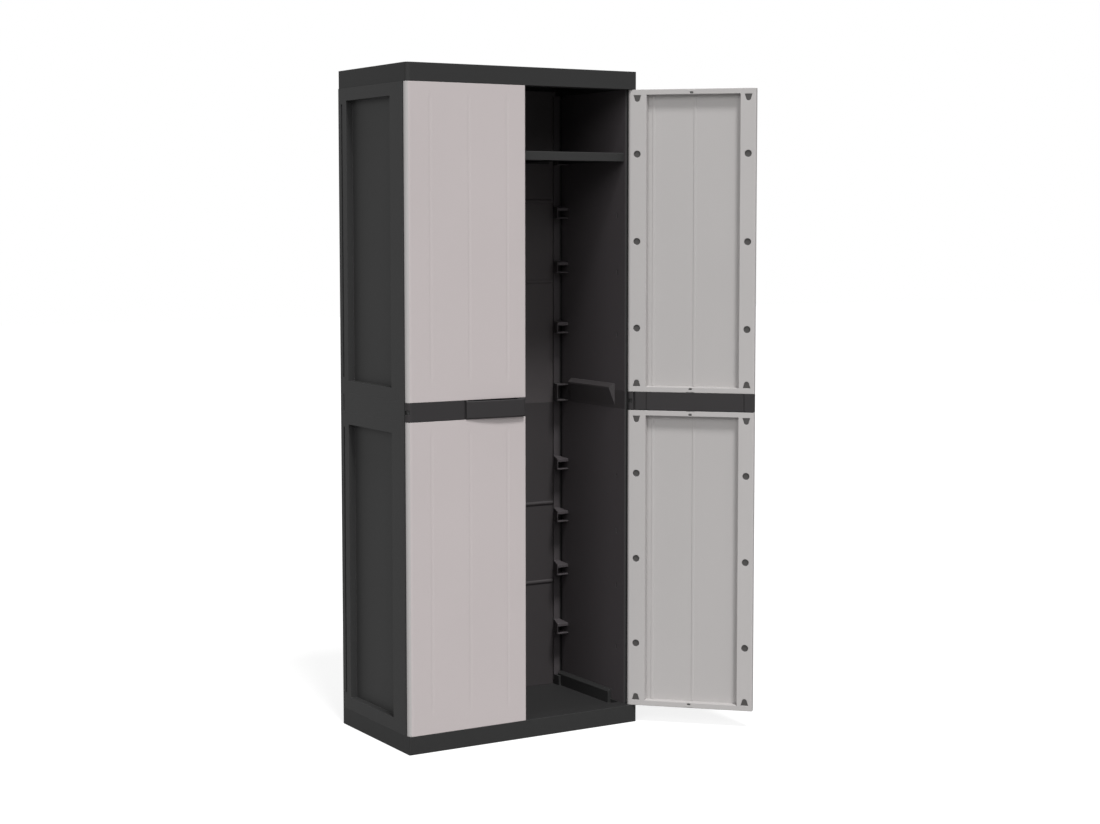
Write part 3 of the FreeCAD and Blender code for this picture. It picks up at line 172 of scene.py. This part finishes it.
def painted_shade_side_of_door(hand):
    """For one door, a mask that is one on its inner side and zero on its outer side: where the painted
    shade goes.
    """
    hinge_x = HINGE_X if hand == "right" else -HINGE_X
    turn = math.radians(RIGHT_DOOR_TURN if hand == "right" else 0)
    inward = (-math.sin(turn), math.cos(turn), 0)

    def mask(nodes, place):
        from_hinge = nodes.vector_math("SUBTRACT", place, (hinge_x, HINGE_Y, 0))["Vector"]
        depth = nodes.vector_math("DOT_PRODUCT", from_hinge, inward)["Value"]
        return nodes.math("GREATER_THAN", depth, SKIN_MIDDLE)

    return mask


def plastic(name, colour, specular=SPECULAR, soft_edge=SOFT_EDGE, wear=WEAR, other=None, mask=None):
    """Moulded plastic: a fine grain, faint clouding, softened edges and a little wear on them.

    Where the mask is one, the other colour stands in for the first: painted light inside the cabinet,
    painted shade on the inner sides of the doors.
    """
    nodes = Nodes(bpy.data.materials.new(name))
    place = nodes.add("ShaderNodeTexCoord").outputs["Object"]
    cloud_inputs = {"Vector": place, "Scale": CLOUD_SCALE, "Detail": CLOUD_DETAIL}
    cloud = nodes.add("ShaderNodeTexNoise", cloud_inputs).outputs["Fac"]
    grain_inputs = {"Vector": place, "Scale": GRAIN_SCALE, "Detail": GRAIN_DETAIL}
    grain = nodes.add("ShaderNodeTexNoise", grain_inputs).outputs["Fac"]
    soft = nodes.add("ShaderNodeBevel", {"Radius": soft_edge}, samples=EDGE_SAMPLES)
    soft_normal = soft.outputs["Normal"]
    true_normal = nodes.add("ShaderNodeNewGeometry").outputs["True Normal"]
    likeness = nodes.vector_math("DOT_PRODUCT", soft_normal, true_normal)["Value"]
    edge_inputs = {
        "Value": likeness,
        "From Min": WEAR_BEGINS,
        "From Max": WEAR_IS_FULL,
        "To Min": 0,
        "To Max": wear,
    }
    edge = nodes.add("ShaderNodeMapRange", edge_inputs).outputs["Result"]
    tone = clouded(nodes, cloud, colour)
    if mask:
        tone = nodes.mix(mask(nodes, place), tone, clouded(nodes, cloud, other))
    rough_inputs = {
        "Value": cloud,
        "To Min": ROUGHNESS - ROUGHNESS_SPREAD,
        "To Max": ROUGHNESS + ROUGHNESS_SPREAD,
    }
    bump_inputs = {
        "Height": grain,
        "Strength": GRAIN_STRENGTH,
        "Distance": GRAIN_HEIGHT,
        "Normal": soft_normal,
    }
    shader_inputs = {
        "Base Color": nodes.mix(edge, tone, WORN_COLOUR),
        "Roughness": nodes.add("ShaderNodeMapRange", rough_inputs).outputs["Result"],
        "Specular IOR Level": specular,
        "Normal": nodes.add("ShaderNodeBump", bump_inputs).outputs["Normal"],
    }
    shader = nodes.add("ShaderNodeBsdfPrincipled", shader_inputs)
    nodes.add("ShaderNodeOutputMaterial", {"Surface": shader.outputs["BSDF"]})
    return nodes.owner


def dark_plastic(name, colour, other=None, mask=None):
    return plastic(name, colour, specular=DARK_SPECULAR, wear=DARK_WEAR, other=other, mask=mask)


# The carcass plastic, painted lighter inside the cabinet: painted light.
def carcass_plastic(name, inner_painted_light_colour):
    return dark_plastic(name, CARCASS, other=inner_painted_light_colour, mask=painted_light_inside_cabinet)


# The door skin, painted darker on its inner side: painted shade.
def door_skin_plastic(hand):
    name = f"door_skin_plastic_{hand}"
    return plastic(name, DOOR_SKIN, other=DOOR_SKIN_PAINTED_SHADE, mask=painted_shade_side_of_door(hand))


def finishes_by_slot():
    return {
        "carcass_plastic": carcass_plastic("carcass_plastic", INSIDE_PAINTED_LIGHT),
        "cap_plastic": dark_plastic("cap_plastic", CAP),
        "shelf_plastic": dark_plastic("shelf_plastic", SHELF),
        "band_plastic": dark_plastic("band_plastic", BAND),
        # The frame colour is painted shade.
        "door_frame_plastic": plastic("door_frame_plastic", DOOR_FRAME_PAINTED_SHADE, soft_edge=FRAME_SOFT_EDGE),
        "rivet_plastic": plastic("rivet_plastic", RIVET),
        "pin_plastic": plastic("pin_plastic", PIN),
    }


def finishes_by_node():
    """The finishes of the nodes that need one of their own inside their slot: painted light on the backs
    and side joiners, painted shade on the inner sides of the door shells.
    """
    low_back = carcass_plastic("carcass_plastic_low_back", LOW_BACK_PAINTED_LIGHT)
    finishes = {
        "back_lower": low_back,
        "side_joiner_left": low_back,
        "side_joiner_right": low_back,
        "back_upper": carcass_plastic("carcass_plastic_high_back", HIGH_BACK_PAINTED_LIGHT),
    }
    for hand in ("left", "right"):
        skin = door_skin_plastic(hand)
        for level in ("lower", "upper"):
            finishes[f"door_{hand}_{level}_shell"] = skin
    return finishes


def dress_nodes():
    """Gives each node its own finish, or else that of its material slot."""
    slots = {row["node"]: row["material_slot"] for row in frame["record"]["subparts"]}
    by_slot = finishes_by_slot()
    by_node = finishes_by_node()
    for name, item in frame["nodes"].items():
        item.data.materials.clear()
        item.data.materials.append(by_node.get(name) or by_slot[slots[name]])


def make_floor():
    """A floor that takes the object's shadow and shows about white to the camera."""
    mesh = bpy.data.meshes.new("floor")
    reach = FLOOR_SIZE / 2
    corners = [(-reach, -reach, 0), (reach, -reach, 0), (reach, reach, 0), (-reach, reach, 0)]
    mesh.from_pydata(corners, [], [(0, 1, 2, 3)])
    floor = bpy.data.objects.new("floor", mesh)
    floor.location.z = -FLOOR_DROP
    bpy.context.scene.collection.objects.link(floor)
    nodes = Nodes(bpy.data.materials.new("floor"))
    seen = nodes.add("ShaderNodeLightPath").outputs["Is Camera Ray"]
    diffuse = nodes.add("ShaderNodeBsdfDiffuse", {"Color": FLOOR_COLOUR})
    glow_inputs = {"Color": WHITE, "Strength": nodes.math("MULTIPLY", seen, FLOOR_LIFT)}
    glow = nodes.add("ShaderNodeEmission", glow_inputs)
    both = nodes.add("ShaderNodeAddShader", {0: diffuse.outputs[0], 1: glow.outputs[0]})
    nodes.add("ShaderNodeOutputMaterial", {"Surface": both.outputs[0]})
    mesh.materials.append(nodes.owner)


def make_world():
    """An even light that shows white to the camera."""
    world = bpy.data.worlds.new("studio")
    nodes = Nodes(world)
    seen = nodes.add("ShaderNodeLightPath").outputs["Is Camera Ray"]
    strength = nodes.add("ShaderNodeMapRange", {"Value": seen, "To Min": AMBIENT, "To Max": 1})
    sky = nodes.add("ShaderNodeBackground", {"Color": WHITE, "Strength": strength.outputs["Result"]})
    nodes.add("ShaderNodeOutputWorld", {"Surface": sky.outputs["Background"]})
    bpy.context.scene.world = world


def make_light(name, azimuth, elevation, width, strength):
    """A far, round and soft light."""
    turn = math.radians(azimuth)
    rise = math.radians(elevation)
    away = Vector((-math.sin(turn) * math.cos(rise), -math.cos(turn) * math.cos(rise), math.sin(rise)))
    data = bpy.data.lights.new(name, "SUN")
    data.angle = math.radians(width)
    data.energy = strength
    lamp = bpy.data.objects.new(name, data)
    lamp.rotation_euler = (-away).to_track_quat("-Z", "Y").to_euler()
    bpy.context.scene.collection.objects.link(lamp)


make_camera()
dress_nodes()
make_floor()
make_world()
for light in LIGHTS:
    make_light(*light)
bpy.context.scene.view_settings.view_transform = "Standard"
